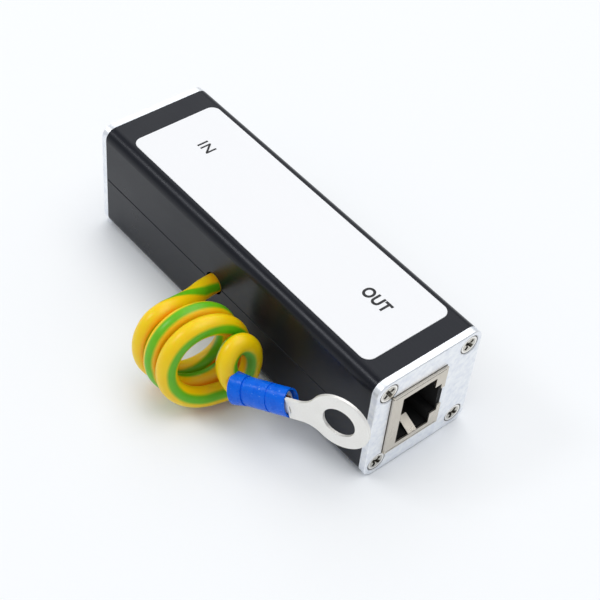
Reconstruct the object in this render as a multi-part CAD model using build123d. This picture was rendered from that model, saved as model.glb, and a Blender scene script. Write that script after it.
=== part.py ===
from build123d import *
import math
import os

# Ethernet surge protector: a split aluminium tube with a jack at each end and an earth lead.
# X runs from the IN end to the OUT end, Z is up, and the origin is the middle of the housing's bottom.
# Sizes are in millimetres. A pair or a row of numbers is a place or a section of one piece.

os.makedirs("parts", exist_ok=True)

# Housing, a split extrusion
HOUSING_LENGTH = 80.0
HOUSING_WIDTH = 25.0
HOUSING_HEIGHT = 25.0
CORNER_RADIUS = 2.4
WALL = 1.5
INNER_RADIUS = 1.0
SEAM_CHAMFER = 0.18
SEAM_RIB_DEPTH = 0.7
SEAM_RIB_REACH = 2.2
TONGUE_HEIGHT = 1.2
TONGUE_THICKNESS = 0.7
TONGUE_CLEARANCE = 0.06

# End plates and their screws
PLATE_THICKNESS = 1.5
PLATE_EDGE_CHAMFER = 0.15
SCREW_INSET = 2.9
HEAD_DIAMETER = 4.1
HEAD_CLEARANCE = 0.06
HEAD_SINK = 0.15
SCREW_DIAMETER = 1.9
SCREW_LENGTH = 6.5
RECESS_WIDTH = 0.7
RECESS_SPAN = 2.5
RECESS_DEPTH = 0.8
RECESS_CORE_DIAMETER = 1.4
RECESS_TIP_DIAMETER = 0.5
SCREW_TURNS = (53, 33, 65, 48)
SHANK_CLEARANCE = 0.15
PORT_CLEARANCE = 0.03
PORT_WALL = 0.95
PORT_SLOT = 0.7

# Label on the roof
LABEL_END_MARGIN = 5.0
LABEL_SIDE_MARGIN = 2.4
LABEL_THICKNESS = 0.15
LABEL_RADIUS = 3.5
LABEL_OFFSET = 0.3

# Circuit board, standing on its long edge between ribs of the housing
BOARD_FACE_Y = 4.5
BOARD_THICKNESS = 1.6
BOARD_END_GAP = 1.5
BOARD_EDGE_GAP = 0.2
BOARD_SLOT_CLEARANCE = 0.1
BOARD_RIB_HEIGHT = 1.3
BOARD_RIB_THICKNESS = 0.8
HOLE_CLEARANCE = 0.12

# Shielded jack, lying on its side with the latch towards the board
JACK_WIDTH = 15.5
JACK_HEIGHT = 13.2
JACK_DEPTH = 18.0
JACK_PROTRUSION = 0.5
WINDOW_CLEARANCE = 0.12
SHEET = 0.3
BEND_RADIUS = 0.3
FOLD_SLIT = 0.14
FOLD_SLIT_END = 0.5
OPENING_WIDTH = 12.4
OPENING_TOP = 2.55
OPENING_HEIGHT = 8.1
LATCH_WIDTH = 7.3
LATCH_HEIGHT = 1.6
LATCH_NECK_WIDTH = 4.7
LEG_WIDTH = 1.2
LEG_LENGTH = 3.2
LEG_SETBACK = 12.0
FINGER_WIDTH = 2.0
FINGER_THICKNESS = 0.25
FINGER_PLACE = 6.95
FINGER_ROOT = 0.1
FINGER_BEND = (3.3, 1.5)
FINGER_END = (5.2, 0.75)

# Plastic insert of a jack
INSERT_CLEARANCE = 0.05
INSERT_SETBACK = 0.3
CAVITY_DEPTH = 13.0
CAVITY_MARGIN = 0.12
LATCH_CAVITY_DEPTH = 10.0
PEG_DIAMETER = 3.1
PEG_LENGTH = 3.0
PEG_SETBACK = 8.5
PEG_PITCH = 11.4

# Contact wires of a jack, and the comb slots that they move in
CONTACT_COUNT = 8
CONTACT_PITCH = 1.02
CONTACT_WIDTH = 0.46
CONTACT_THICKNESS = 0.3
CONTACT_CLEARANCE = 0.1
CONTACT_RUN = 1.5
CONTACT_FOLD = 2.2
CONTACT_NOSE = (1.7, 2.1)
CONTACT_TIP = (8.6, 5.6)
CONTACT_PIN_SETBACKS = (12.5, 15.0)
CONTACT_PIN_LENGTH = 3.0
COMB_FRONT = 1.0
COMB_BACK = 9.6

# Gas tubes and rectifier bridges on the jacks' side of the board, surge clamps on its back
TUBE_DIAMETER = 5.0
TUBE_LENGTH = 7.6
TUBE_BAND_DIAMETER = 5.3
TUBE_BAND_WIDTH = 0.9
TUBE_BAND_SPACING = 3.35
TUBE_STAND_OFF = 0.6
TUBE_LEAD_DIAMETER = 0.8
TUBE_LEAD_LENGTH = 1.2
TUBE_COLUMNS = (-17.0, 10.0)
TUBE_ROW_PITCH = 11.0
BRIDGE_COLUMNS = (-9.6, 3.0)
BRIDGE_ROW_PITCH = 12.2
BRIDGE_LENGTH = 4.7
BRIDGE_THICKNESS = 2.4
BRIDGE_WIDTH = 3.9
BRIDGE_LEG_PITCH = 2.5
BRIDGE_LEG_WIDTH = 0.6
BRIDGE_LEG_SHEET = 0.2
BRIDGE_LEG_RISE = 1.2
BRIDGE_FOOT = 0.8
CLAMP_COLUMNS = (-19.0, -9.5, 9.5, 19.0)
CLAMP_LENGTH = 4.5
CLAMP_THICKNESS = 2.2
CLAMP_WIDTH = 3.6
CLAMP_TERMINAL_REACH = 0.9
CLAMP_TERMINAL_WIDTH = 2.0
STAND_OFF = 0.1

# Earth lead: a thick insulated wire that leaves by the seam, is wound into a coil and makes a small loop
WIRE_DIAMETER = 4.0
CORE_DIAMETER = 2.0
EXIT_X = -4.0
EXIT_CLEARANCE = 0.4
INSULATION_END_Y = 0.5
CORE_BEYOND_BOARD = 1.2
SOLDER_DIAMETER = 3.8
SOLDER_TOP_DIAMETER = 2.4
SOLDER_HEIGHT = 0.9
COIL_RADIUS = 7.85
COIL_PITCH = 4.2
COIL_ORIGIN = (-0.23, -24.04, 9.7)
COIL_YAW = -13.0
COIL_TILT = 5.0
STACK_YAW = -4.0
STACK_TILT = 8.0
COIL_START = 135.0
COIL_CORNERS = 12
COIL_STEPS = 29
ARC_SHARE = 0.45
LEAD_POINTS = [
    (-4.0, -14.9, 12.5), (-2.9, -17.8, 13.1), (-1.8, -20.9, 14.4), (-0.8, -23.9, 15.8),
    (-0.3, -26.8, 16.7)]
TAIL_POINTS = [
    (13.3, -20.1, 4.0), (14.25, -18.4, 6.4), (14.3, -17.6, 8.99), (14.26, -17.36, 11.49),
    (14.08, -17.72, 13.99), (13.6, -18.97, 15.83), (13.41, -20.85, 16.24), (13.7, -22.51, 15.35),
    (14.14, -23.45, 13.88), (14.74, -23.66, 12.09), (15.79, -23.39, 10.45)]
STRAIGHT_INTO_BARREL = 1.8

# Ring terminal and its insulating sleeve, placed from the middle of the ring
RING_CENTRE = (38.1, -17.36, 16.8)
TERMINAL_YAW = 19.3
TERMINAL_TILT = 18.1
RING_DIAMETER = 12.0
STUD_HOLE_DIAMETER = 6.4
RING_REACH = 10.85
TONGUE_SHEET = 0.6
TONGUE_CHAMFER = 0.1
TONGUE_OFFSET = 1.25
NECK_WIDTH = 4.6
NECK_START = 0.1
NECK_BLEND = 5.0
THROAT_END = 0.8
BARREL_START = -9.6
BARREL_END = -0.8
BARREL_WIDTH = 4.6
BARREL_HEIGHT = 3.4
BARREL_WALL = 0.8
SLEEVE_LENGTH = 11.9
SLEEVE_WALL = 0.66
SLEEVE_FLARE = 0.45
SLEEVE_FLARE_END = 0.1
SLEEVE_GROOVE_DEPTH = 0.15
SLEEVE_GROOVES = (2.5, 7.8)
SLEEVE_GROOVE_WIDTH = 0.45
SLEEVE_MOUTH = 0.3
SLEEVE_MOUTH_DEPTH = 2.0
SLEEVE_FIT = 0.04
STRAND_END = 0.2

# How far ribs and pegs run into what carries them, and cutting tools past it
ROOT = 0.2
OVERCUT = 1.0

HALF_LENGTH = HOUSING_LENGTH / 2
HALF_WIDTH = HOUSING_WIDTH / 2
SEAM_Z = HOUSING_HEIGHT / 2
PLATE_FACE_X = HALF_LENGTH + PLATE_THICKNESS
SCREW_Y = HALF_WIDTH - SCREW_INSET
SCREW_RISE = SEAM_Z - SCREW_INSET
BOARD_BACK_Y = BOARD_FACE_Y + BOARD_THICKNESS
JACK_FACE_X = PLATE_FACE_X + JACK_PROTRUSION
JACK_BACK_X = JACK_FACE_X - JACK_DEPTH
JACK_TOP_Y = BOARD_FACE_Y - JACK_HEIGHT
JACK_LOW_Z = SEAM_Z - JACK_WIDTH / 2
JACK_HIGH_Z = SEAM_Z + JACK_WIDTH / 2
OPENING_STEP_Y = JACK_TOP_Y + OPENING_TOP + OPENING_HEIGHT
SCREW_PLACES = [(y, SEAM_Z + z) for y in (-SCREW_Y, SCREW_Y) for z in (-SCREW_RISE, SCREW_RISE)]
CONTACT_PLACES = [SEAM_Z + CONTACT_PITCH * (i - (CONTACT_COUNT - 1) / 2) for i in range(CONTACT_COUNT)]


def save(shape, name):
    """Write one node as a STEP file."""
    shape.label = name
    export_step(shape, f"parts/{name}.step")
    print(f"{name}: {len(shape.solids())} solids, {shape.volume:.1f} mm3")


def around(middle, size):
    """Range of a given size about its middle."""
    return middle - size / 2, middle + size / 2


def block(x_range, y_range, z_range):
    """A box from its three ranges."""
    size = [high - low for low, high in (x_range, y_range, z_range)]
    middle = [(high + low) / 2 for low, high in (x_range, y_range, z_range)]
    return Pos(*middle) * Box(*size)


def rod(x, z, y_range, diameter):
    """A round rod along Y."""
    middle = (y_range[0] + y_range[1]) / 2
    return Pos(x, middle, z) * Rot(90, 0, 0) * Cylinder(diameter / 2, y_range[1] - y_range[0])


def extrude_x(sketch, x_range):
    """Extrude a sketch, drawn with Y to the right and Z up, along X."""
    plane = Plane(origin=(x_range[0], 0, 0), x_dir=(0, 1, 0), z_dir=(1, 0, 0))
    return extrude(plane * sketch, x_range[1] - x_range[0])


def strip(points, thickness, width, plane):
    """A bent strip of sheet: its centre line lies in the plane, and its width runs across it."""
    return extrude(plane * trace(Polyline(*points), thickness), width / 2, both=True)


def at_in_end(shape):
    """A shape of the OUT end, turned half round so that it serves the IN end."""
    return shape.rotate(Axis((0, 0, SEAM_Z), (0, 1, 0)), 180)


def outer_profile():
    return Pos(0, SEAM_Z) * RectangleRounded(HOUSING_WIDTH, HOUSING_HEIGHT, CORNER_RADIUS)


# Housing and its ends

def half_profile():
    """Section of the lower half shell. The upper half is the same extrusion, turned over."""
    half = outer_profile() - Pos(0, SEAM_Z) * RectangleRounded(
        HOUSING_WIDTH - 2 * WALL, HOUSING_HEIGHT - 2 * WALL, INNER_RADIUS)
    port_diameter = SCREW_DIAMETER + 2 * PORT_CLEARANCE
    slot_length = port_diameter / 2 + PORT_WALL + OVERCUT
    rib_offset = BOARD_SLOT_CLEARANCE + BOARD_RIB_THICKNESS / 2
    for side in (-1, 1):
        seam_rib_y = side * (HALF_WIDTH - WALL - (SEAM_RIB_DEPTH - ROOT) / 2)
        half += Pos(seam_rib_y, SEAM_Z) * Rectangle(SEAM_RIB_DEPTH + ROOT, 2 * SEAM_RIB_REACH)
        for rib_y in (BOARD_FACE_Y - rib_offset, BOARD_BACK_Y + rib_offset):
            half += Pos(side * rib_y, WALL + (BOARD_RIB_HEIGHT - ROOT) / 2) * Rectangle(
                BOARD_RIB_THICKNESS, BOARD_RIB_HEIGHT + ROOT)
        port = Pos(side * SCREW_Y, SCREW_INSET)
        half += port * Circle(port_diameter / 2 + PORT_WALL)
        half -= port * Circle(port_diameter / 2)
        half -= port * Rot(0, 0, 90 + side * 45) * Pos(slot_length / 2, 0) * Rectangle(
            slot_length, PORT_SLOT)
    half = half & Pos(0, SEAM_Z / 2) * Rectangle(HOUSING_WIDTH, SEAM_Z)
    tongue_y = HALF_WIDTH - (WALL + SEAM_RIB_DEPTH) / 2
    half += Pos(-tongue_y, SEAM_Z + (TONGUE_HEIGHT - ROOT) / 2) * Rectangle(
        TONGUE_THICKNESS, TONGUE_HEIGHT + ROOT)
    half -= Pos(tongue_y, SEAM_Z - TONGUE_HEIGHT / 2) * Rectangle(
        TONGUE_THICKNESS + 2 * TONGUE_CLEARANCE, TONGUE_HEIGHT + 2 * TONGUE_CLEARANCE)
    for side in (-1, 1):
        half -= Pos(side * HALF_WIDTH, SEAM_Z) * Rot(0, 0, 45) * Rectangle(
            SEAM_CHAMFER * math.sqrt(2), SEAM_CHAMFER * math.sqrt(2))
    return half


def housing():
    lower = extrude_x(half_profile(), (-HALF_LENGTH, HALF_LENGTH))
    upper = lower.rotate(Axis((0, 0, SEAM_Z), (1, 0, 0)), 180)
    exit_hole = rod(EXIT_X, SEAM_Z, (-HOUSING_WIDTH, 0), WIRE_DIAMETER + 2 * EXIT_CLEARANCE)
    save(lower - exit_hole, "housing_lower")
    save(upper - exit_hole, "housing_upper")


def end_plates():
    plate = extrude_x(outer_profile(), (HALF_LENGTH, PLATE_FACE_X))
    plate = chamfer(plate.faces().sort_by(Axis.X)[-1].edges(), PLATE_EDGE_CHAMFER)
    clear = WINDOW_CLEARANCE
    plate -= block((HALF_LENGTH - OVERCUT, PLATE_FACE_X + OVERCUT),
                   (JACK_TOP_Y - clear, BOARD_FACE_Y + clear), (JACK_LOW_Z - clear, JACK_HIGH_Z + clear))
    hole_radius = SCREW_DIAMETER / 2 + SHANK_CLEARANCE
    rim_radius = HEAD_DIAMETER / 2 + HEAD_CLEARANCE + HEAD_SINK
    depth = rim_radius - hole_radius
    for y, z in SCREW_PLACES:
        axis = Pos(PLATE_FACE_X, y, z) * Rot(0, 90, 0)
        plate -= axis * Pos(0, 0, -depth / 2) * Cone(hole_radius, rim_radius, depth)
        plate -= axis * Cylinder(hole_radius, 2 * (PLATE_THICKNESS + OVERCUT))
    save(plate, "end_plate_out")
    save(at_in_end(plate), "end_plate_in")


def end_screws():
    head_height = (HEAD_DIAMETER - SCREW_DIAMETER) / 2
    screw = Pos(0, 0, -head_height / 2) * Cone(SCREW_DIAMETER / 2, HEAD_DIAMETER / 2, head_height)
    screw += Pos(0, 0, -(SCREW_LENGTH + head_height) / 2) * Cylinder(
        SCREW_DIAMETER / 2, SCREW_LENGTH - head_height)
    recess = Box(RECESS_SPAN, RECESS_WIDTH, RECESS_DEPTH) + Box(RECESS_WIDTH, RECESS_SPAN, RECESS_DEPTH)
    recess += Cone(RECESS_TIP_DIAMETER / 2, RECESS_CORE_DIAMETER / 2, RECESS_DEPTH)
    screw -= Pos(0, 0, -RECESS_DEPTH / 2) * recess
    screws = Compound(children=[Pos(PLATE_FACE_X - HEAD_SINK, y, z) * Rot(0, 90, 0) * Rot(0, 0, turn) * screw
                                for (y, z), turn in zip(SCREW_PLACES, SCREW_TURNS)])
    save(screws, "end_screws_out")
    save(at_in_end(screws), "end_screws_in")


def label():
    sketch = Pos(LABEL_OFFSET, 0, HOUSING_HEIGHT) * RectangleRounded(
        HOUSING_LENGTH - 2 * LABEL_END_MARGIN, HOUSING_WIDTH - 2 * LABEL_SIDE_MARGIN, LABEL_RADIUS)
    save(extrude(sketch, LABEL_THICKNESS), "label")


# Jacks

def plug_opening(x_range, latch_x_range, margin):
    """The stepped hollow of the jack, for a plug and its latch."""
    top = JACK_TOP_Y + OPENING_TOP
    hollow = block(x_range, (top - margin, OPENING_STEP_Y + margin),
                   around(SEAM_Z, OPENING_WIDTH + 2 * margin))
    hollow += block(latch_x_range, (OPENING_STEP_Y, OPENING_STEP_Y + LATCH_HEIGHT + margin),
                    around(SEAM_Z, LATCH_WIDTH + 2 * margin))
    return hollow


def jack_shields():
    can = block((JACK_BACK_X, JACK_FACE_X), (JACK_TOP_Y, BOARD_FACE_Y), (JACK_LOW_Z, JACK_HIGH_Z))
    can = fillet(can.edges().filter_by(Axis.X).group_by(Axis.Y)[0], BEND_RADIUS)
    can -= block((JACK_BACK_X + SHEET, JACK_FACE_X - SHEET),
                 (JACK_TOP_Y + SHEET, BOARD_FACE_Y + OVERCUT), (JACK_LOW_Z + SHEET, JACK_HIGH_Z - SHEET))
    front = (JACK_FACE_X - SHEET, JACK_FACE_X + OVERCUT)
    through = around(JACK_FACE_X, 2 * OVERCUT)
    can -= plug_opening(through, through, 0.0)
    can -= block(through, (OPENING_STEP_Y + LATCH_HEIGHT, BOARD_FACE_Y + OVERCUT),
                 around(SEAM_Z, LATCH_NECK_WIDTH))
    for edge in (JACK_LOW_Z + SHEET, JACK_HIGH_Z - SHEET - FOLD_SLIT):
        can -= block(front, (JACK_TOP_Y + FOLD_SLIT_END, BOARD_FACE_Y - FOLD_SLIT_END),
                     (edge, edge + FOLD_SLIT))
    finger_y = JACK_TOP_Y + FINGER_PLACE
    plane = Plane(origin=(0, finger_y, 0), x_dir=(1, 0, 0), z_dir=(0, -1, 0))
    for side in (-1, 1):
        edge_z = SEAM_Z + side * OPENING_WIDTH / 2
        line = [(JACK_FACE_X - SHEET / 2, edge_z + side * FINGER_ROOT),
                (JACK_FACE_X - FINGER_BEND[0], edge_z - side * FINGER_BEND[1]),
                (JACK_FACE_X - FINGER_END[0], edge_z - side * FINGER_END[1])]
        can += strip(line, FINGER_THICKNESS, FINGER_WIDTH, plane)
    for edge in (JACK_LOW_Z, JACK_HIGH_Z - SHEET):
        can += block(around(JACK_FACE_X - LEG_SETBACK, LEG_WIDTH),
                     (BOARD_FACE_Y - ROOT, BOARD_FACE_Y + LEG_LENGTH), (edge, edge + SHEET))
    save(can, "jack_shield_out")
    save(at_in_end(can), "jack_shield_in")


def contact_wire(index, clearance=0.0):
    """One contact: a pin through the board, a run under the roof, a fold and a free tip."""
    pin_x = JACK_FACE_X - CONTACT_PIN_SETBACKS[index % 2]
    roof_y = JACK_TOP_Y + CONTACT_RUN
    line = [(pin_x, BOARD_FACE_Y + CONTACT_PIN_LENGTH), (pin_x, roof_y),
            (JACK_FACE_X - CONTACT_FOLD, roof_y),
            (JACK_FACE_X - CONTACT_NOSE[0], JACK_TOP_Y + CONTACT_NOSE[1]),
            (JACK_FACE_X - CONTACT_TIP[0], JACK_TOP_Y + CONTACT_TIP[1])]
    return strip(line, CONTACT_THICKNESS + 2 * clearance, CONTACT_WIDTH + 2 * clearance,
                 Plane.XY.offset(CONTACT_PLACES[index]))


def jack_contacts():
    wires = Compound(children=[contact_wire(i) for i in range(CONTACT_COUNT)])
    save(wires, "jack_contacts_out")
    save(at_in_end(wires), "jack_contacts_in")


def jack_inserts():
    gap = SHEET + INSERT_CLEARANCE
    body = block((JACK_BACK_X + gap, JACK_FACE_X - SHEET - INSERT_SETBACK),
                 (JACK_TOP_Y + gap, BOARD_FACE_Y), (JACK_LOW_Z + gap, JACK_HIGH_Z - gap))
    body -= plug_opening((JACK_FACE_X - CAVITY_DEPTH, JACK_FACE_X),
                         (JACK_FACE_X - LATCH_CAVITY_DEPTH, JACK_FACE_X), CAVITY_MARGIN)
    for index, z in enumerate(CONTACT_PLACES):
        body -= contact_wire(index, CONTACT_CLEARANCE)
        body -= block((JACK_FACE_X - COMB_BACK, JACK_FACE_X - COMB_FRONT),
                      (JACK_TOP_Y + CONTACT_RUN, JACK_TOP_Y + OPENING_TOP),
                      around(z, CONTACT_WIDTH + 2 * CONTACT_CLEARANCE))
    for side in (-1, 1):
        body += rod(JACK_FACE_X - PEG_SETBACK, SEAM_Z + side * PEG_PITCH / 2,
                    (BOARD_FACE_Y - ROOT, BOARD_FACE_Y + PEG_LENGTH), PEG_DIAMETER)
    save(body, "jack_insert_out")
    save(at_in_end(body), "jack_insert_in")


# Circuit board and its components

def rows(pitch):
    """Two heights, above and below the seam."""
    return SEAM_Z - pitch / 2, SEAM_Z + pitch / 2


def tube_leads(x):
    """Places of a gas tube's three leads along X."""
    return x - TUBE_BAND_SPACING, x, x + TUBE_BAND_SPACING


def jack_holes(through):
    """Holes that the pins, pegs and legs of the OUT end's jack go through."""
    pin_hole = math.hypot(CONTACT_WIDTH, CONTACT_THICKNESS) + 2 * HOLE_CLEARANCE
    leg_x = JACK_FACE_X - LEG_SETBACK
    holes = []
    for index, z in enumerate(CONTACT_PLACES):
        holes.append(rod(JACK_FACE_X - CONTACT_PIN_SETBACKS[index % 2], z, through, pin_hole))
    for side in (-1, 1):
        holes.append(rod(JACK_FACE_X - PEG_SETBACK, SEAM_Z + side * PEG_PITCH / 2, through,
                         PEG_DIAMETER + 2 * HOLE_CLEARANCE))
        holes.append(block(around(leg_x, LEG_WIDTH + 2 * HOLE_CLEARANCE), through,
                           around(SEAM_Z + side * (JACK_WIDTH - SHEET) / 2, SHEET + 2 * HOLE_CLEARANCE)))
    return holes


def circuit_board():
    board = block(around(0, HOUSING_LENGTH - 2 * BOARD_END_GAP), (BOARD_FACE_Y, BOARD_BACK_Y),
                  around(SEAM_Z, HOUSING_HEIGHT - 2 * WALL - 2 * BOARD_EDGE_GAP))
    through = (BOARD_FACE_Y - OVERCUT, BOARD_BACK_Y + OVERCUT)
    for hole in jack_holes(through):
        board = board - hole - at_in_end(hole)
    for x in TUBE_COLUMNS:
        for z in rows(TUBE_ROW_PITCH):
            for lead_x in tube_leads(x):
                board -= rod(lead_x, z, through, TUBE_LEAD_DIAMETER + 2 * HOLE_CLEARANCE)
    board -= rod(EXIT_X, SEAM_Z, through, CORE_DIAMETER + 2 * HOLE_CLEARANCE)
    save(board, "circuit_board")


def gas_tube(x, z):
    """A gas tube with three ring electrodes, its leads through the board."""
    centre_y = BOARD_FACE_Y - TUBE_STAND_OFF - TUBE_BAND_DIAMETER / 2
    tube = Pos(x, centre_y, z) * Rot(0, 90, 0) * Cylinder(TUBE_DIAMETER / 2, TUBE_LENGTH)
    for lead_x in tube_leads(x):
        tube += Pos(lead_x, centre_y, z) * Rot(0, 90, 0) * Cylinder(
            TUBE_BAND_DIAMETER / 2, TUBE_BAND_WIDTH)
        tube += rod(lead_x, z, (centre_y, BOARD_BACK_Y + TUBE_LEAD_LENGTH), TUBE_LEAD_DIAMETER)
    return tube


def rectifier_bridge(x, z):
    """A rectifier in a moulded case with four bent legs."""
    high_y = BOARD_FACE_Y - STAND_OFF
    body = block(around(x, BRIDGE_LENGTH), (high_y - BRIDGE_THICKNESS, high_y), around(z, BRIDGE_WIDTH))
    for side in (-1, 1):
        wall_z = z + side * BRIDGE_WIDTH / 2
        riser_z = sorted((wall_z, wall_z + side * BRIDGE_LEG_SHEET))
        foot_z = sorted((wall_z, wall_z + side * BRIDGE_FOOT))
        for leg_x in around(x, BRIDGE_LEG_PITCH):
            leg = around(leg_x, BRIDGE_LEG_WIDTH)
            body += block(leg, (BOARD_FACE_Y - BRIDGE_LEG_RISE, BOARD_FACE_Y), riser_z)
            body += block(leg, (BOARD_FACE_Y - BRIDGE_LEG_SHEET, BOARD_FACE_Y), foot_z)
    return body


def surge_clamp(x):
    """A clamping diode in a moulded case, with a terminal at each end."""
    low_y = BOARD_BACK_Y + STAND_OFF
    body = block(around(x, CLAMP_LENGTH), (low_y, low_y + CLAMP_THICKNESS), around(SEAM_Z, CLAMP_WIDTH))
    for end_x in around(x, CLAMP_LENGTH):
        body += block(around(end_x, CLAMP_TERMINAL_REACH), (BOARD_BACK_Y, low_y + CLAMP_TERMINAL_REACH),
                      around(SEAM_Z, CLAMP_TERMINAL_WIDTH))
    return body


def components():
    tube_places = [(x, z) for x in TUBE_COLUMNS for z in rows(TUBE_ROW_PITCH)]
    for number, place in enumerate(tube_places, 1):
        save(gas_tube(*place), f"gas_tube_{number}")
    bridge_places = [(x, z) for x in BRIDGE_COLUMNS for z in rows(BRIDGE_ROW_PITCH)]
    for number, place in enumerate(bridge_places, 1):
        save(rectifier_bridge(*place), f"rectifier_bridge_{number}")
    for number, x in enumerate(CLAMP_COLUMNS, 1):
        save(surge_clamp(x), f"surge_clamp_{number}")


# Earth lead

def direction(yaw, tilt):
    """Unit vector from its turn round Z and its rise above the floor, in degrees."""
    yaw, tilt = math.radians(yaw), math.radians(tilt)
    return Vector(math.cos(yaw) * math.cos(tilt), math.sin(yaw) * math.cos(tilt), math.sin(tilt))


def coil_corners():
    """Corners of the coil's route. Its edges touch the circle of the wire's centre line."""
    axis = direction(COIL_YAW, COIL_TILT)
    stack = direction(STACK_YAW, STACK_TILT) * COIL_PITCH
    sideways = (Vector(0, 1, 0) - axis * axis.Y).normalized()
    upwards = axis.cross(sideways)
    reach = COIL_RADIUS / math.cos(math.pi / COIL_CORNERS)
    corners = []
    for step in range(COIL_STEPS + 1):
        degrees = COIL_START + step * 360 / COIL_CORNERS
        angle = math.radians(degrees)
        centre = Vector(*COIL_ORIGIN) + stack * (degrees / 360)
        corners.append(centre + sideways * (reach * math.cos(angle)) + upwards * (reach * math.sin(angle)))
    return corners


def wire_tube(points, name):
    """A tube of straight runs joined by tangent arcs, each as large as its runs allow."""
    points = [Vector(*point) for point in points]
    radii = []
    for before, corner, after in zip(points, points[1:], points[2:]):
        turn = math.radians((corner - before).get_angle(after - corner))
        shorter = min((corner - before).length, (after - corner).length)
        radii.append(ARC_SHARE * shorter / math.tan(turn / 2))
    path = FilletPolyline(*points, radius=radii)
    start = Plane(origin=points[0], z_dir=points[1] - points[0])
    tube = sweep(start * Circle(WIRE_DIAMETER / 2), path=path)
    expected = math.pi * (WIRE_DIAMETER / 2) ** 2 * path.length
    print(name, "radii", [round(radius, 2) for radius in radii])
    print(name, f"length {path.length:.1f}, volume {tube.volume:.1f} of {expected:.1f}")
    return tube


def earth_wire():
    """The wire from its solder joint to the ring terminal. Its coil is a node of its own."""
    core_end = BOARD_BACK_Y + CORE_BEYOND_BOARD
    core = rod(EXIT_X, SEAM_Z, (INSULATION_END_Y, core_end), CORE_DIAMETER)
    cone = Pos(EXIT_X, BOARD_BACK_Y + SOLDER_HEIGHT / 2, SEAM_Z) * Rot(90, 0, 0) * Cone(
        SOLDER_TOP_DIAMETER / 2, SOLDER_DIAMETER / 2, SOLDER_HEIGHT)
    save(rod(EXIT_X, SEAM_Z, (-HALF_WIDTH, INSULATION_END_Y), WIRE_DIAMETER), "earth_wire_inner")
    save(core, "earth_wire_core")
    save(cone - core, "earth_solder_joint")

    corners = coil_corners()
    first_cut = (corners[0] + corners[1]) / 2
    last_cut = (corners[-2] + corners[-1]) / 2
    wall = (EXIT_X, -HALF_WIDTH, SEAM_Z)
    lead = wire_tube([wall, *LEAD_POINTS, corners[0], first_cut], "earth_wire_lead")
    coil = wire_tube([first_cut, *corners[1:-1], last_cut], "earth_wire_coil")
    tail = wire_tube([last_cut, corners[-1], *TAIL_POINTS, WIRE_END - TERMINAL_AXIS * STRAIGHT_INTO_BARREL,
                      WIRE_END], "earth_wire_tail")
    save(lead, "earth_wire_lead")
    save(coil, "earth_wire_coil")
    save(tail, "earth_wire_tail")
    return tail


# Ring terminal

TERMINAL_AXIS = direction(TERMINAL_YAW, TERMINAL_TILT)
TONGUE_NORMAL = TERMINAL_AXIS.cross(Vector(0, 0, 1)).normalized()
MOUTH = Vector(*RING_CENTRE) - TERMINAL_AXIS * RING_REACH - TONGUE_NORMAL * TONGUE_OFFSET
WIRE_END = MOUTH + TERMINAL_AXIS * BARREL_START


def oval_face(added_wall, x):
    """Oval section of the crimped barrel, grown by a wall all round."""
    across = Plane(origin=(x, 0, 0), x_dir=(0, 1, 0), z_dir=(1, 0, 0))
    return across * Ellipse(BARREL_WIDTH / 2 + added_wall, BARREL_HEIGHT / 2 + added_wall)


def oval(added_wall, start, end):
    """A straight length of the oval section."""
    return extrude(oval_face(added_wall, start), end - start)


def ring_terminal(place):
    """Drawn along X with its tongue facing +Z, and then laid on the wire's end."""
    neck_middle = (NECK_START + RING_REACH) / 2
    tongue = Pos(RING_REACH, 0) * Circle(RING_DIAMETER / 2)
    tongue += Pos(neck_middle, 0) * Rectangle(RING_REACH - NECK_START, NECK_WIDTH)
    corners = tongue.vertices().filter_by_position(Axis.X, NECK_START + ROOT, RING_REACH)
    tongue = fillet(corners, NECK_BLEND) - Pos(RING_REACH, 0) * Circle(STUD_HOLE_DIAMETER / 2)
    sheet = extrude(tongue, TONGUE_SHEET / 2, both=True)
    rim = sheet.faces().sort_by(Axis.Z)[-1].outer_wire()
    terminal = chamfer(rim.edges(), TONGUE_CHAMFER).moved(Pos(0, 0, TONGUE_OFFSET))
    throat_floor = TONGUE_OFFSET - TONGUE_SHEET / 2
    throat = oval(0, BARREL_END, THROAT_END) & block(
        (BARREL_END, THROAT_END), around(0, BARREL_WIDTH), (throat_floor, BARREL_HEIGHT))
    terminal += oval(0, BARREL_START, BARREL_END) + throat
    bore = oval(-BARREL_WALL, BARREL_START - OVERCUT, THROAT_END + OVERCUT)
    save(place * (terminal - bore), "ring_terminal")
    save(place * oval(-BARREL_WALL, BARREL_START, STRAND_END), "copper_strands")


def terminal_sleeve(place, tail):
    """Insulating sleeve, crimped on the barrel and on the end of the wire's insulation."""
    back = -SLEEVE_LENGTH
    funnel = loft([oval_face(SLEEVE_WALL + SLEEVE_FLARE, back),
                   oval_face(SLEEVE_WALL + SLEEVE_FLARE_END, back + SLEEVE_GROOVES[0])])
    sleeve = oval(SLEEVE_WALL, back, 0) + funnel
    for groove in SLEEVE_GROOVES:
        start = back + groove
        end = start + SLEEVE_GROOVE_WIDTH
        sleeve -= oval(SLEEVE_WALL + SLEEVE_FLARE, start, end) - oval(
            SLEEVE_WALL - SLEEVE_GROOVE_DEPTH, start, end)
    sleeve -= oval(SLEEVE_FIT, BARREL_START, OVERCUT)
    sleeve -= oval(SLEEVE_MOUTH, -SLEEVE_MOUTH_DEPTH, OVERCUT)
    save(place * sleeve - tail, "terminal_sleeve")


housing()
end_plates()
end_screws()
label()
jack_shields()
jack_contacts()
jack_inserts()
circuit_board()
components()
wire_tail = earth_wire()
terminal_place = Plane(origin=MOUTH, x_dir=TERMINAL_AXIS, z_dir=TONGUE_NORMAL).location
ring_terminal(terminal_place)
terminal_sleeve(terminal_place, wire_tail)
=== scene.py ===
import math

import bmesh
import bpy
from mathutils import Matrix, Vector

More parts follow.
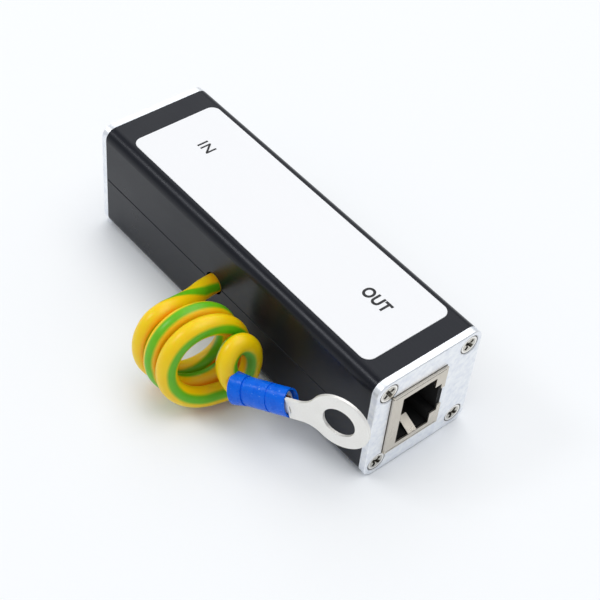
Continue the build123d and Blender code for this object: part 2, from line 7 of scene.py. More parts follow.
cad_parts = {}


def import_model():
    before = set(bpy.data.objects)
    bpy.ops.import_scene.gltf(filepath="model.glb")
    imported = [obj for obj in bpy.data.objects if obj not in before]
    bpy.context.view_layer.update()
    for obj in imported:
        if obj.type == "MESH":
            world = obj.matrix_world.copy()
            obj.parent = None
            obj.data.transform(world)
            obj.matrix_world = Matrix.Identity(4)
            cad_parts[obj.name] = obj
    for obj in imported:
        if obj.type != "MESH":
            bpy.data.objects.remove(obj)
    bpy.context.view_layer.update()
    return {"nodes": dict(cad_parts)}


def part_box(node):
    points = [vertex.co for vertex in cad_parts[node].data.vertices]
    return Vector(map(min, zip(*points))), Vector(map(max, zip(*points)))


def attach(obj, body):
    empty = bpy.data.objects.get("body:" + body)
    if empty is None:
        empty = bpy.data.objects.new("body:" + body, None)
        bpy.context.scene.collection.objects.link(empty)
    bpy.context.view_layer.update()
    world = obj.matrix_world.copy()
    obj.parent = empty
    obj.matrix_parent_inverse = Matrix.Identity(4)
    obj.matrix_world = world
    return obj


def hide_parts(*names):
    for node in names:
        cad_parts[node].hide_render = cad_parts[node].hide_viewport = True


# Looks of an ethernet surge protector: finishes, earth wire, label, studio and camera.
# Sizes are in the part's millimetres, and MM turns them into Blender's metres. Angles are in degrees.

MM = 0.001
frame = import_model()

# Camera of the photograph: lens, sensor, the point that it looks at, and where it stands from there
LENS = 83.24
SENSOR = 36.0
TARGET = Vector((1.64, 5.36, 1.715)) * MM
DISTANCE = 278.55 * MM
AZIMUTH = 45.77
ELEVATION = 46.51
ROLL = 6.56

# Earth wire, the route that the part's source gives it
WIRE_DIAMETER = 4.0
EXIT = (-4.0, -12.5, 12.5)
COIL_RADIUS = 7.85
COIL_PITCH = 4.2
COIL_ORIGIN = (-0.23, -24.04, 9.7)
COIL_YAW = -13.0
COIL_TILT = 5.0
STACK_YAW = -4.0
STACK_TILT = 8.0
COIL_START = 135.0
COIL_CORNERS = 12
COIL_STEPS = 29
LEAD_POINTS = [
    (-4.0, -14.9, 12.5), (-2.9, -17.8, 13.1), (-1.8, -20.9, 14.4), (-0.8, -23.9, 15.8),
    (-0.3, -26.8, 16.7)]
TAIL_POINTS = [
    (13.3, -20.1, 4.0), (14.25, -18.4, 6.4), (14.3, -17.6, 8.99), (14.26, -17.36, 11.49),
    (14.08, -17.72, 13.99), (13.6, -18.97, 15.83), (13.41, -20.85, 16.24), (13.7, -22.51, 15.35),
    (14.14, -23.45, 13.88), (14.74, -23.66, 12.09), (15.79, -23.39, 10.45),
    (17.726, -23.17, 9.887), (19.341, -22.605, 10.447)]

# Green stripe: its angle from the coil's front towards its outside, at lengths along the wire
STRIPE_ROLL = [
    (0, 12), (4, 40), (8, 93), (12, 135), (17, 168), (29, 172), (38, 150), (46, 117), (60, 86), (75, 59),
    (82, 72), (90, 66), (105, 16), (112, 0), (122, -6), (137, -31), (147, -29), (152, -28),
    (158, -42), (163, -45)]

# How many stripes there are, and where yellow turns to green, in stripe pitches from the yellow's middle
STRIPE_COUNT = 2
STRIPE_EDGE = (0.31, 0.40)
STRIPE_WANDER = 0.02

# Fineness of the wire's mesh: steps in each stretch of its spline, and sides of its tube
SPLINE_STEPS = 10
TUBE_SIDES = 32

# Terminal's crimped mouth, and the rows of copper strands that show in it
MOUTH = Vector((27.953, -19.589, 13.429)) * MM
TERMINAL_YAW = 19.3
TERMINAL_TILT = 18.1
STRAND_DIAMETER = 0.42
STRAND_AREA = (2.5, 1.4)
STRAND_ROWS = 2
STRAND_COLUMNS = 3
STRAND_BACK = -4.0
STRAND_END = 0.2
STRAND_STAGGER = 0.35

# Screws: height of the seam between the half shells, and the screws' reach from the end's middle.
# The painted highlight rim of a head and the painted shade ring round it each set in between two radii.
SEAM_HEIGHT = 12.5
SCREW_REACH = 9.6
HIGHLIGHT_RIM_RADII = (1.45, 1.6)
SHADE_RING_RADII = (1.82, 1.92)

# Label film, from corner to corner
LABEL_LOW = (-34.5, -10.05)
LABEL_HIGH = (35.6, 10.15)
LABEL_RADIUS = 1.9
LABEL_SOFT_EDGE = 0.04
LABEL_CORNER_STEPS = 8

# Lettering: each word's place, height, swell of its strokes and narrowing
LETTERING = {"IN": (-24.9, 0.9, 2.45, 0.05, 0.94), "OUT": (25.4, 1.05, 2.45, 0.13, 0.82)}
CAPITAL_SHARE = 0.7
LETTER_SPACING = 1.1
INK_THICKNESS = 0.02

# Studio floor: its side in metres, and how near the object its glow begins to fade into a painted contact
# shadow
FLOOR_SIZE = 6.0
PAINTED_SHADOW_REACH = 14.0


def direction(yaw, tilt):
    """Unit vector from its turn round Z and its rise above the floor, in degrees."""
    yaw, tilt = math.radians(yaw), math.radians(tilt)
    return Vector((math.cos(yaw) * math.cos(tilt), math.sin(yaw) * math.cos(tilt), math.sin(tilt)))


# Shader building blocks

class Shader:
    """Builds nodes of one material or one group, and keeps the lines short."""

    def __init__(self, tree):
        self.tree = tree

    def add(self, kind, **values):
        """A node, with its properties by name and its inputs by their socket's name or number."""
        node = self.tree.nodes.new(kind)
        for name, value in values.items():
            if name == "inputs":
                for socket, content in value.items():
                    self.feed(node.inputs[socket], content)
            else:
                setattr(node, name, value)
        return node

    def feed(self, socket, content):
        """Link an output into a socket, or set the socket to a value."""
        if isinstance(content, bpy.types.NodeSocket):
            self.tree.links.new(content, socket)
        else:
            socket.default_value = content

    def math(self, operation, first, second=0.0, clamp=False):
        """Result of one sum."""
        node = self.add("ShaderNodeMath", operation=operation, use_clamp=clamp,
                        inputs={0: first, 1: second})
        return node.outputs[0]

    def mix(self, factor, first, second):
        """Mix of two colours."""
        node = self.add("ShaderNodeMix", data_type="RGBA", inputs={0: factor, 6: first, 7: second})
        return node.outputs[2]

    def remap(self, value, low, high, new_low, new_high):
        """A value stretched from one range to another, and held at the new range's ends."""
        node = self.add("ShaderNodeMapRange", inputs={0: value, 1: low, 2: high, 3: new_low, 4: new_high})
        return node.outputs[0]

    def noise(self, vector, scale, detail, roughness=0.5):
        """Cloudy value between 0 and 1, with its scale per metre."""
        node = self.add("ShaderNodeTexNoise", inputs={
            "Vector": vector, "Scale": scale, "Detail": detail, "Roughness": roughness})
        return node.outputs["Fac"]


def new_group(name, inputs, outputs):
    """Shader node group with float inputs and outputs."""
    tree = bpy.data.node_groups.new(name, "ShaderNodeTree")
    for label, value in inputs.items():
        socket = tree.interface.new_socket(label, in_out="INPUT", socket_type="NodeSocketFloat")
        socket.default_value = value
    for label in outputs:
        tree.interface.new_socket(label, in_out="OUTPUT", socket_type="NodeSocketFloat")
    shader = Shader(tree)
    entry = shader.add("NodeGroupInput")
    leave = shader.add("NodeGroupOutput")
    return shader, entry.outputs, leave.inputs


def grain_group():
    """Fine grain of a blasted, moulded or anodised surface, and broad patches over it."""
    shader, entry, leave = new_group(
        "Grain and patches", {"Grain size": 0.2 * MM, "Patch size": 6 * MM}, ("Grain", "Patches"))
    place = shader.add("ShaderNodeTexCoord").outputs["Object"]
    fine = shader.noise(place, shader.math("DIVIDE", 1.0, entry["Grain size"]), 2.0)
    broad = shader.noise(place, shader.math("DIVIDE", 1.0, entry["Patch size"]), 3.0)
    shader.feed(leave["Grain"], fine)
    shader.feed(leave["Patches"], broad)
    return shader.tree


def wear_group():
    """Mask of edges where handling has polished a finish or taken it off."""
    shader, entry, leave = new_group("Edge wear", {"Width": 0.3 * MM, "Amount": 0.5}, ("Wear",))
    true_normal = shader.add("ShaderNodeNewGeometry").outputs["Normal"]
    rounded = shader.add("ShaderNodeBevel", samples=6, inputs={"Radius": entry["Width"]}).outputs["Normal"]
    agree = shader.add("ShaderNodeVectorMath", operation="DOT_PRODUCT",
                       inputs={0: true_normal, 1: rounded}).outputs["Value"]
    edge = shader.remap(agree, 0.995, 0.8, 0.0, 1.0)
    place = shader.add("ShaderNodeTexCoord").outputs["Object"]
    breaks_per_metre = 900.0
    broken = shader.remap(shader.noise(place, breaks_per_metre, 4.0), 0.35, 0.7, 0.25, 1.0)
    worn = shader.math("MULTIPLY", shader.math("MULTIPLY", edge, broken), entry["Amount"], clamp=True)
    shader.feed(leave["Wear"], worn)
    return shader.tree


def painted_crevice_shade_group():
    """Mask of gaps and inner corners, for painted shade where little light comes in."""
    shader, entry, leave = new_group("Painted crevice shade", {"Reach": 0.4 * MM, "Amount": 0.5}, ("Painted shade",))
    open_share = shader.add("ShaderNodeAmbientOcclusion", samples=8, inputs={
        "Distance": entry["Reach"]}).outputs["AO"]
    closed = shader.remap(open_share, 0.92, 0.45, 0.0, 1.0)
    shader.feed(leave["Painted shade"], shader.math("MULTIPLY", closed, entry["Amount"], clamp=True))
    return shader.tree


def streak_group():
    """Fine streaks left by rolling, brushing or milling, along one axis of the part."""
    shader, entry, leave = new_group(
        "Streaks", {"Along X": 1.0, "Along Y": 1.0, "Along Z": 1.0, "Width": 0.1 * MM}, ("Streak",))
    place = shader.add("ShaderNodeTexCoord").outputs["Object"]
    squeeze = shader.add("ShaderNodeCombineXYZ", inputs={
        0: entry["Along X"], 1: entry["Along Y"], 2: entry["Along Z"]}).outputs[0]
    stretched = shader.add("ShaderNodeVectorMath", operation="MULTIPLY",
                           inputs={0: place, 1: squeeze}).outputs[0]
    shader.feed(leave["Streak"], shader.noise(
        stretched, shader.math("DIVIDE", 1.0, entry["Width"]), 4.0, 0.6))
    return shader.tree


GRAIN = grain_group()
WEAR = wear_group()
CREVICE_SHADE = painted_crevice_shade_group()
STREAKS = streak_group()


def use_group(shader, tree, **inputs):
    """Place a group in a material, with its inputs by their names in plain words."""
    node = shader.add("ShaderNodeGroup", node_tree=tree)
    for name, value in inputs.items():
        node.inputs[name.replace("_", " ")].default_value = value
    return node.outputs


def new_material(name):
    """An empty material, its Principled shader and its builder."""
    material = bpy.data.materials.new(name)
    material.use_nodes = True
    shader = Shader(material.node_tree)
    return material, shader, material.node_tree.nodes["Principled BSDF"].inputs


def raise_surface(shader, surface, height, distance):
    """Bump of a surface from a height between 0 and 1, with the depth of the bump in metres."""
    bump = shader.add("ShaderNodeBump", inputs={"Distance": distance, "Height": height})
    shader.feed(surface["Normal"], bump.outputs[0])


def vary_roughness(shader, surface, patches, low, high):
    """Roughness of a surface between two values, from patch to patch."""
    shader.feed(surface["Roughness"], shader.remap(patches, 0.3, 0.7, low, high))


def plain_finish(name, colour, roughness, metallic=0.0, grain_size=0.2, patch_share=0.12,
                 grain_depth=0.004):
    """Finish with grain, and with patches of slightly other gloss and colour."""
    material, shader, surface = new_material(name)
    grain = use_group(shader, GRAIN, Grain_size=grain_size * MM, Patch_size=5 * MM)
    darker = tuple(channel * (1 - patch_share) for channel in colour)
    shader.feed(surface["Base Color"], shader.mix(grain["Patches"], (*darker, 1), (*colour, 1)))
    vary_roughness(shader, surface, grain["Patches"], roughness * 0.88, roughness * 1.12)
    surface["Metallic"].default_value = metallic
    raise_surface(shader, surface, grain["Grain"], grain_depth * MM)
    return material


def anodised_finish():
    """Black anodised extrusion: satin, with faint drawing lines along it and rubbed edges, whose lighter
    line is partly wear and partly a painted highlight.
    """
    material, shader, surface = new_material("Black anodising")
    grain = use_group(shader, GRAIN, Grain_size=0.12 * MM, Patch_size=9 * MM)
    lines = use_group(shader, STREAKS, Along_X=0.02, Width=0.25 * MM)["Streak"]
    wear = use_group(shader, WEAR, Width=0.25 * MM, Amount=0.35)["Wear"]
    tone = shader.mix(grain["Patches"], (0.005, 0.0055, 0.008, 1), (0.009, 0.010, 0.015, 1))
    tone = shader.mix(shader.remap(lines, 0.45, 0.75, 0.0, 0.35), tone, (0.018, 0.020, 0.030, 1))
    # Lighter rubbed edges: partly wear and partly a painted highlight line along the rounded edges.
    tone = shader.mix(wear, tone, (0.12, 0.12, 0.14, 1))
    shader.feed(surface["Base Color"], tone)
    vary_roughness(shader, surface, grain["Patches"], 0.27, 0.35)
    surface["Specular IOR Level"].default_value = 0.23
    surface["Specular Tint"].default_value = (0.90, 0.93, 1.0, 1)
    raise_surface(shader, surface, grain["Grain"], 0.007 * MM)
    return material


def plate_finish():
    """Bare aluminium plate: mottled and fine blasted, with milled edges."""
    material, shader, surface = new_material("Blasted aluminium plate")
    grain = use_group(shader, GRAIN, Grain_size=0.16 * MM, Patch_size=1.1 * MM)
    lines = use_group(shader, STREAKS, Along_X=0.08, Along_Z=0.25, Width=0.12 * MM)["Streak"]
    wear = use_group(shader, WEAR, Width=0.35 * MM, Amount=0.8)["Wear"]
    mottling = shader.remap(grain["Patches"], 0.3, 0.65, 0.0, 1.0)
    tone = shader.mix(mottling, (0.82, 0.85, 0.91, 1), (0.95, 0.97, 0.99, 1))
    tone = shader.mix(shader.remap(lines, 0.4, 0.75, 0.0, 0.3), tone, (0.95, 0.96, 0.98, 1))
    tone = shader.mix(wear, tone, (0.96, 0.97, 0.98, 1))
    # Painted shade: the plate turns dark grey in gaps and inner corners, such as round the screws and the
    # jack.
    crevice_shade = use_group(shader, CREVICE_SHADE, Reach=0.35 * MM, Amount=0.9)["Painted shade"]
    tone = shader.mix(crevice_shade, tone, (0.09, 0.085, 0.08, 1))
    shader.feed(surface["Base Color"], tone)
    shader.feed(surface["Roughness"], shader.remap(grain["Patches"], 0.25, 0.75, 0.5, 0.36))
    surface["Metallic"].default_value = 0.9
    raise_surface(shader, surface, grain["Grain"], 0.012 * MM)
    return material


def sheet_finish(name, colour, bright, along, roughness, metallic=1.0):
    """Sheet metal with fine streaks along one axis, or even specks, and brighter cut edges."""
    material, shader, surface = new_material(name)
    lines = use_group(shader, STREAKS, **along)["Streak"]
    grain = use_group(shader, GRAIN, Grain_size=0.1 * MM, Patch_size=3 * MM)
    wear = use_group(shader, WEAR, Width=0.15 * MM, Amount=0.7)["Wear"]
    tone = shader.mix(shader.remap(lines, 0.3, 0.7, 0.0, 0.5), (*colour, 1), (*bright, 1))
    tone = shader.mix(wear, tone, (*bright, 1))
    # Painted shade: dark brown in gaps and inner corners, such as the jack shield's folds.
    crevice_shade = use_group(shader, CREVICE_SHADE, Reach=0.3 * MM, Amount=0.9)["Painted shade"]
    tone = shader.mix(crevice_shade, tone, (0.05, 0.045, 0.04, 1))
    shader.feed(surface["Base Color"], tone)
    vary_roughness(shader, surface, grain["Patches"], roughness * 0.85, roughness * 1.2)
    surface["Metallic"].default_value = metallic
    raise_surface(shader, surface, lines, 0.006 * MM)
    return material


def screw_finish():
    """Nickel plated screws: brushed, with a painted highlight rim round each head, a painted shade ring
    outside it, and painted shade in the recesses.
    """
    material, shader, surface = new_material("Nickel screw")
    place = shader.add("ShaderNodeTexCoord").outputs["Object"]
    parts = shader.add("ShaderNodeSeparateXYZ", inputs={0: place})
    above_seam = shader.math("SUBTRACT", parts.outputs[2], SEAM_HEIGHT * MM)
    aside = shader.math("SUBTRACT", shader.math("ABSOLUTE", parts.outputs[1]), SCREW_REACH * MM)
    over = shader.math("SUBTRACT", shader.math("ABSOLUTE", above_seam), SCREW_REACH * MM)
    radius = shader.math("SQRT", shader.math("ADD", shader.math("MULTIPLY", aside, aside),
                                             shader.math("MULTIPLY", over, over)))
    # Painted highlight: a bright rim on each head. Painted shade: a dark ring round it, in the countersink.
    painted_rim_highlight = shader.remap(radius, HIGHLIGHT_RIM_RADII[0] * MM, HIGHLIGHT_RIM_RADII[1] * MM, 0.0, 1.0)
    painted_shade_ring = shader.remap(radius, SHADE_RING_RADII[0] * MM, SHADE_RING_RADII[1] * MM, 0.0, 1.0)
    lines = use_group(shader, STREAKS, Along_Z=0.06, Width=0.12 * MM)["Streak"]
    grain = use_group(shader, GRAIN, Grain_size=0.1 * MM, Patch_size=3 * MM)
    # Painted shade: darker in the cross recess and other gaps.
    crevice_shade = use_group(shader, CREVICE_SHADE, Reach=0.3 * MM, Amount=0.9)["Painted shade"]
    tone = shader.mix(shader.remap(lines, 0.3, 0.7, 0.0, 1.0), (0.46, 0.44, 0.39, 1), (0.70, 0.68, 0.62, 1))
    tone = shader.mix(painted_rim_highlight, tone, (0.92, 0.90, 0.86, 1))
    tone = shader.mix(painted_shade_ring, tone, (0.05, 0.045, 0.04, 1))
    tone = shader.mix(crevice_shade, tone, (0.04, 0.036, 0.03, 1))
    shader.feed(surface["Base Color"], tone)
    vary_roughness(shader, surface, grain["Patches"], 0.24, 0.32)
    surface["Metallic"].default_value = 1.0
    raise_surface(shader, surface, lines, 0.006 * MM)
    return material


def insulation_finish():
    """Yellow PVC with two green stripes, from the wire's own unrolled surface."""
    material, shader, surface = new_material("Yellow and green insulation")
    unrolled = shader.add("ShaderNodeUVMap", uv_map="Unrolled").outputs[0]
    parts = shader.add("ShaderNodeSeparateXYZ", inputs={0: unrolled})
    pitches = shader.math("FRACT", shader.math("MULTIPLY", parts.outputs[1], STRIPE_COUNT))
    from_yellow = shader.math("ABSOLUTE", shader.math("SUBTRACT", pitches, 0.5))
    grain = use_group(shader, GRAIN, Grain_size=0.25 * MM, Patch_size=2.5 * MM)
    wander = shader.remap(grain["Patches"], 0.0, 1.0, -STRIPE_WANDER, STRIPE_WANDER)
    stripe = shader.remap(shader.math("ADD", from_yellow, wander), *STRIPE_EDGE, 0.0, 1.0)
    yellow = shader.mix(grain["Patches"], (1.0, 0.62, 0.001, 1), (1.0, 0.71, 0.002, 1))
    # Painted shade: the yellow turns deep orange in the creases between the turns.
    crevice_shade = use_group(shader, CREVICE_SHADE, Reach=2.5 * MM, Amount=0.8)["Painted shade"]
    yellow = shader.mix(crevice_shade, yellow, (0.95, 0.33, 0.001, 1))
    green = shader.mix(grain["Patches"], (0.10, 0.46, 0.004, 1), (0.19, 0.60, 0.008, 1))
    shader.feed(surface["Base Color"], shader.mix(stripe, yellow, green))
    vary_roughness(shader, surface, grain["Patches"], 0.30, 0.38)
    surface["Specular IOR Level"].default_value = 0.4
    surface["Subsurface Weight"].default_value = 0.3
    surface["Subsurface Radius"].default_value = (1.0, 0.25, 0.05)
    surface["Subsurface Scale"].default_value = 2 * MM
    raise_surface(shader, surface, grain["Grain"], 0.004 * MM)
    return material


def sleeve_finish():
    """Blue vinyl: uneven and fairly glossy, with small pale specks painted as glints."""
    material, shader, surface = new_material("Blue vinyl")
    grain = use_group(shader, GRAIN, Grain_size=0.3 * MM, Patch_size=1.6 * MM)
    wear = use_group(shader, WEAR, Width=0.25 * MM, Amount=0.3)["Wear"]
    tone = shader.mix(grain["Patches"], (0.0, 0.10, 0.72, 1), (0.0, 0.17, 0.92, 1))
    # Painted highlight: rare pale specks as glints.
    painted_glints = shader.remap(grain["Grain"], 0.69, 0.73, 0.0, 0.6)
    tone = shader.mix(painted_glints, tone, (0.35, 0.60, 1.0, 1))
    tone = shader.mix(wear, tone, (0.03, 0.30, 1.0, 1))
    shader.feed(surface["Base Color"], tone)
    vary_roughness(shader, surface, grain["Patches"], 0.22, 0.36)
    surface["Specular IOR Level"].default_value = 0.2
    raise_surface(shader, surface, grain["Patches"], 0.12 * MM)
    return material


ALONG_HOUSING = {"Along_X": 0.06, "Width": 0.12 * MM}
ALONG_HEIGHT = {"Along_Z": 0.06, "Width": 0.12 * MM}
EVEN_SPECKS = {"Width": 0.22 * MM}

INSULATION = insulation_finish()
COPPER = sheet_finish("Copper strand", (0.72, 0.36, 0.2), (0.9, 0.55, 0.36), ALONG_HOUSING, 0.3)
INK = plain_finish("Black ink", (0.010, 0.010, 0.012), 0.6)
FILM = plain_finish("White label film", (0.93, 0.93, 0.94), 0.45, grain_size=0.3, patch_share=0.02,
                    grain_depth=0.002)

NODE_FINISHES = {
    "housing": anodised_finish(),
    "end_plate": plate_finish(),
    "end_screws": screw_finish(),
    "circuit_board": plain_finish("Green solder mask", (0.02, 0.16, 0.06), 0.3, grain_size=0.4,
                                  patch_share=0.35),
    "jack_shield": sheet_finish("Nickel plated sheet", (0.60, 0.55, 0.47), (0.78, 0.74, 0.67),
                                ALONG_HEIGHT, 0.3),
    "jack_insert": plain_finish("Black moulding", (0.003, 0.003, 0.0033), 0.8),
    "jack_contacts": sheet_finish("Gold plating", (0.72, 0.47, 0.14), (0.92, 0.68, 0.3),
                                  ALONG_HOUSING, 0.22),
    "gas_tube": plain_finish("White ceramic", (0.82, 0.81, 0.77), 0.3, patch_share=0.06),
    "rectifier_bridge": plain_finish("Moulded epoxy", (0.02, 0.02, 0.022), 0.55, patch_share=0.3,
                                     grain_depth=0.01),
    "surge_clamp": plain_finish("Moulded epoxy case", (0.03, 0.03, 0.032), 0.5, patch_share=0.3,
                                grain_depth=0.01),
    "earth_wire_inner": plain_finish("Yellow insulation", (0.94, 0.58, 0.012), 0.4),
    "earth_wire_core": COPPER,
    "earth_solder_joint": plain_finish("Solder", (0.62, 0.62, 0.63), 0.24, metallic=1.0,
                                       patch_share=0.25),
    "terminal_sleeve": sleeve_finish(),
    "ring_terminal": sheet_finish("Tinned copper", (0.90, 0.88, 0.83), (0.99, 0.98, 0.95),
                                  EVEN_SPECKS, 0.48, metallic=0.6),
}


def finish_nodes():
    """Give each node of the CAD model that stays in view its finish, by the start of its name."""
    for name, node in frame["nodes"].items():
        for kind, finish in NODE_FINISHES.items():
            if name.startswith(kind):
                node.data.materials.clear()
                node.data.materials.append(finish)


# Earth wire

def route_points():
    """The wire's route in metres: lead, coil by its turns, and tail with its small loop."""
    axis = direction(COIL_YAW, COIL_TILT)
    stack = direction(STACK_YAW, STACK_TILT) * COIL_PITCH
    sideways = (Vector((0, 1, 0)) - axis * axis.y).normalized()
    upwards = axis.cross(sideways)
    reach = COIL_RADIUS / math.cos(math.pi / COIL_CORNERS)
    turns = []
    for step in range(COIL_STEPS + 1):
        degrees = COIL_START + step * 360 / COIL_CORNERS
        angle = math.radians(degrees)
        centre = Vector(COIL_ORIGIN) + stack * (degrees / 360)
        turns.append(centre + sideways * (reach * math.cos(angle)) + upwards * (reach * math.sin(angle)))
    points = [EXIT, *LEAD_POINTS, *turns, *TAIL_POINTS]
    return [Vector(point) * MM for point in points]


def smooth_line(points):
    """Points along the NURBS spline that has the route's points as its control points."""
    curve = bpy.data.curves.new("Wire route", "CURVE")
    curve.dimensions = "3D"
    curve.resolution_u = SPLINE_STEPS
    spline = curve.splines.new("NURBS")
    spline.points.add(len(points) - 1)
    for target, point in zip(spline.points, points):
        target.co = (*point, 1.0)
    spline.order_u = 3
    spline.use_endpoint_u = True
    holder = bpy.data.objects.new("Wire route", curve)
    mesh = bpy.data.meshes.new_from_object(holder)
    bpy.data.objects.remove(holder)
    return [vertex.co.copy() for vertex in mesh.vertices]


def between(table, place):
    """Value of a table of pairs at a place, in a straight line between its neighbours."""
    for (before, low), (after, high) in zip(table, table[1:]):
        if place <= after:
            return low + (high - low) * max(0.0, place - before) / (after - before)
    return table[-1][1]


def wire_tube(line):
    """Mesh tube along a line, unrolled in a UV map so that its stripes run along it."""
    front = direction(COIL_YAW, COIL_TILT)
    vertices, unrolled, travelled = [], [], 0.0
    for index, point in enumerate(line):
        before, after = line[max(index - 1, 0)], line[min(index + 1, len(line) - 1)]
        tangent = (after - before).normalized()
        if index:
            travelled += (point - line[index - 1]).length
        ahead = (front - tangent * front.dot(tangent)).normalized()
        outward = tangent.cross(ahead)
        roll = between(STRIPE_ROLL, travelled / MM)
        for side in range(TUBE_SIDES):
            turn = math.tau * side / TUBE_SIDES
            angle = turn + math.radians(roll)
            vertices.append(point + (ahead * math.cos(angle) + outward * math.sin(angle))
                            * (WIRE_DIAMETER / 2 * MM))
        unrolled.append(travelled)
    faces, corners = [], []
    for ring in range(len(line) - 1):
        for side in range(TUBE_SIDES):
            following = (side + 1) % TUBE_SIDES
            low, high = ring * TUBE_SIDES, (ring + 1) * TUBE_SIDES
            faces.append((low + side, high + side, high + following, low + following))
            share, next_share = side / TUBE_SIDES, (side + 1) / TUBE_SIDES
            corners += [(unrolled[ring], share), (unrolled[ring + 1], share),
                        (unrolled[ring + 1], next_share), (unrolled[ring], next_share)]
    mesh = bpy.data.meshes.new("earth_wire")
    mesh.from_pydata(vertices, [], faces)
    layer = mesh.uv_layers.new(name="Unrolled")
    for loop, corner in zip(layer.data, corners):
        loop.uv = corner
    mesh.shade_smooth()
    return mesh


def add_piece(name, data, finish):
    """A new piece with its finish, on the part's only body."""
    piece = bpy.data.objects.new(name, data)
    bpy.context.scene.collection.objects.link(piece)
    data.materials.append(finish)
    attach(piece, "root")
    return piece


def earth_wire():
    """The whole lead outside the housing as one piece, with the copper strands in the barrel of the
    terminal that hangs on it.
    """
    line = smooth_line(route_points())
    wire = add_piece("earth_wire", wire_tube(line), INSULATION)
    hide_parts("earth_wire_lead", "earth_wire_coil", "earth_wire_tail")
    strands = copper_strands()


def copper_strands():
    """Bundle of thin strands that fills the terminal's barrel and ends in its mouth."""
    axis = direction(TERMINAL_YAW, TERMINAL_TILT)
    normal = axis.cross(Vector((0, 0, 1))).normalized()
    across = normal.cross(axis)
    curve = bpy.data.curves.new("copper_strands", "CURVE")
    curve.dimensions = "3D"
    curve.bevel_depth = STRAND_DIAMETER / 2 * MM
    curve.bevel_resolution = 2
    curve.use_fill_caps = True
    row_step = STRAND_DIAMETER * math.sqrt(3) / 2
    for row in range(-STRAND_ROWS, STRAND_ROWS + 1):
        for column in range(-STRAND_COLUMNS, STRAND_COLUMNS + 1):
            wide = (column + 0.5 * (row % 2)) * STRAND_DIAMETER
            high = row * row_step
            if math.hypot(wide / STRAND_AREA[0], high / STRAND_AREA[1]) > 0.5:
                continue
            spline = curve.splines.new("POLY")
            spline.points.add(1)
            stagger = STRAND_STAGGER * abs(math.sin(7.0 * column + 3.0 * row))
            ends = (STRAND_BACK, STRAND_END - stagger)
            for target, along in zip(spline.points, ends):
                place = MOUTH + (axis * along + across * wide + normal * high) * MM
                target.co = (*place, 1.0)
    strands = add_piece("strand_bundle", curve, COPPER)
    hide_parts("copper_strands")
    return strands


def label_film():
    """The label: a white film with round corners and soft edges, on top of the housing."""
    (_, _, bottom), (_, _, top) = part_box("label")
    left, right = LABEL_LOW[0] + LABEL_RADIUS, LABEL_HIGH[0] - LABEL_RADIUS
    front, back = LABEL_LOW[1] + LABEL_RADIUS, LABEL_HIGH[1] - LABEL_RADIUS
    outline = []
    for corner, middle in enumerate(((right, back), (left, back), (left, front), (right, front))):
        for step in range(LABEL_CORNER_STEPS + 1):
            angle = math.radians(90) * (corner + step / LABEL_CORNER_STEPS)
            outline.append((Vector(middle), Vector((math.cos(angle), math.sin(angle)))))
    soft, softer = LABEL_SOFT_EDGE, 0.3 * LABEL_SOFT_EDGE
    levels = ((0.0, bottom), (0.0, top - soft * MM), (softer, top - softer * MM), (soft, top))
    shell = bmesh.new()
    rings = []
    for inset, height in levels:
        places = [(middle + outward * (LABEL_RADIUS - inset)) * MM for middle, outward in outline]
        rings.append([shell.verts.new((*place, height)) for place in places])
    for low, high in zip(rings, rings[1:]):
        for index in range(len(outline)):
            following = (index + 1) % len(outline)
            shell.faces.new((low[index], low[following], high[following], high[index]))
    shell.faces.new(rings[-1])
    shell.faces.new(list(reversed(rings[0])))
    mesh = bpy.data.meshes.new("label_film")
    shell.to_mesh(mesh)
    shell.free()
    film = add_piece("label_film", mesh, FILM)
    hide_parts("label")


def lettering():
    """The port names on the label, in plain letters."""
    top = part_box("label")[1][2]
    for text, (x, y, height, swell, narrowing) in LETTERING.items():
        curve = bpy.data.curves.new(f"letters_{text}", "FONT")
        curve.body = text
        curve.align_x = "CENTER"
        curve.align_y = "CENTER"
        curve.size = height / CAPITAL_SHARE * MM
        curve.space_character = LETTER_SPACING
        curve.offset = swell * MM
        curve.extrude = INK_THICKNESS / 2 * MM
        letters = add_piece(f"letters_{text}", curve, INK)
        letters.location = (x * MM, y * MM, top + INK_THICKNESS / 2 * MM)
        letters.scale = (narrowing, 1.0, 1.0)


# Studio

def floor():
    """White floor that glows for the camera, but not close to the object: there the fading glow paints a
    contact shadow.
    """
    bpy.ops.mesh.primitive_plane_add(size=FLOOR_SIZE)
    ground = bpy.context.object
    ground.name = "studio_floor"
    material, shader, surface = new_material("Studio floor")
    surface["Base Color"].default_value = (0.94, 0.965, 1.0, 1)
    surface["Roughness"].default_value = 0.7
    path = shader.add("ShaderNodeLightPath").outputs
    seen = shader.math("MAXIMUM", path["Is Camera Ray"], shader.math(
        "MAXIMUM", path["Is Glossy Ray"], path["Is Transmission Ray"]))
    glow = shader.add("ShaderNodeEmission", inputs={"Color": (0.985, 0.995, 1.0, 1), "Strength": 1.0})
    # Painted shadow: the glow fades where the object is near, which darkens the floor and its reflections
    # round the object.
    open_share = shader.add("ShaderNodeAmbientOcclusion", samples=16, inputs={
        "Distance": PAINTED_SHADOW_REACH * MM}).outputs["AO"]
    clear = shader.remap(open_share, 0.45, 1.0, 0.0, 0.55)
    share = shader.math("MULTIPLY", seen, clear)
    nodes = material.node_tree.nodes
    blend = shader.add("ShaderNodeMixShader", inputs={
        0: share, 1: nodes["Principled BSDF"].outputs[0], 2: glow.outputs[0]})
    shader.feed(nodes["Material Output"].inputs["Surface"], blend.outputs[0])
    ground.data.materials.append(material)


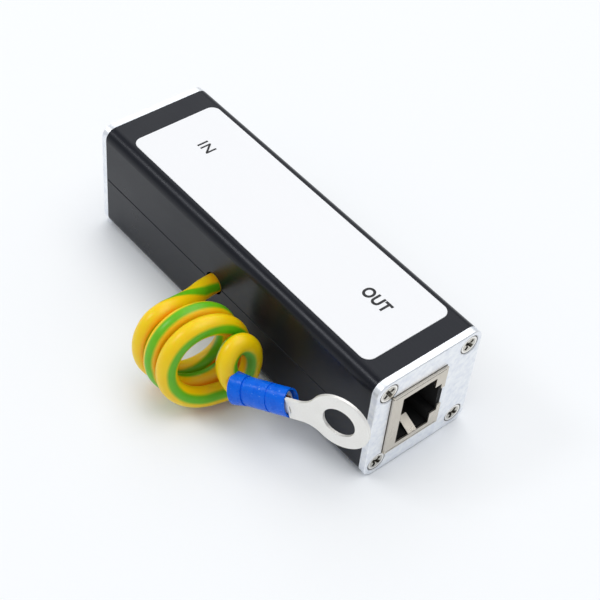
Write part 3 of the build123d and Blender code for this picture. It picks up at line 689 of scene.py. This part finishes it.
def world():
    """Even light from all sides, and a white background behind the floor."""
    scene_world = bpy.data.worlds.new("Studio")
    bpy.context.scene.world = scene_world
    scene_world.use_nodes = True
    shader = Shader(scene_world.node_tree)
    path = shader.add("ShaderNodeLightPath").outputs
    ambient = scene_world.node_tree.nodes["Background"]
    ambient.inputs["Color"].default_value = (0.93, 0.96, 1.0, 1)
    strength = shader.math("ADD", shader.math("MULTIPLY", path["Is Camera Ray"], 0.5), 0.5)
    shader.feed(ambient.inputs["Strength"], strength)


def softbox(name, place, size, power):
    """Square white area light that faces the object, with its place and size in metres."""
    light = bpy.data.lights.new(name, "AREA")
    light.shape = "SQUARE"
    light.size = size
    light.energy = power
    lamp = bpy.data.objects.new(name, light)
    bpy.context.scene.collection.objects.link(lamp)
    lamp.location = place
    lamp.rotation_mode = "QUATERNION"
    lamp.rotation_quaternion = (-Vector(place)).to_track_quat("-Z", "Y")


def camera():
    """Camera with the photograph's place, turn and lens."""
    azimuth, elevation, roll = (math.radians(angle) for angle in (AZIMUTH, ELEVATION, ROLL))
    back = Vector((math.sin(azimuth) * math.cos(elevation),
                   -math.cos(azimuth) * math.cos(elevation), math.sin(elevation)))
    level = Vector((math.cos(azimuth), math.sin(azimuth), 0))
    upright = back.cross(level)
    right = level * math.cos(roll) + upright * math.sin(roll)
    up = back.cross(right)
    data = bpy.data.cameras.new("Camera")
    data.lens = LENS
    data.sensor_width = SENSOR
    data.clip_start = 0.01
    data.clip_end = 20.0
    holder = bpy.data.objects.new("Camera", data)
    bpy.context.scene.collection.objects.link(holder)
    turn = Matrix((right, up, back)).transposed().to_4x4()
    holder.matrix_world = Matrix.Translation(TARGET + back * DISTANCE) @ turn
    bpy.context.scene.camera = holder


def studio():
    """World, floor, lamps and camera."""
    bpy.context.scene.view_settings.view_transform = "Standard"
    world()
    floor()
    softbox("Overhead", (0.20, 0.35, 1.40), 1.0, 7.0)
    softbox("Back left", (-0.75, 0.73, 1.10), 1.0, 4.0)
    softbox("Front left", (-0.74, -0.77, 1.06), 0.35, 4.5)
    camera()


finish_nodes()
earth_wire()
label_film()
lettering()
studio()
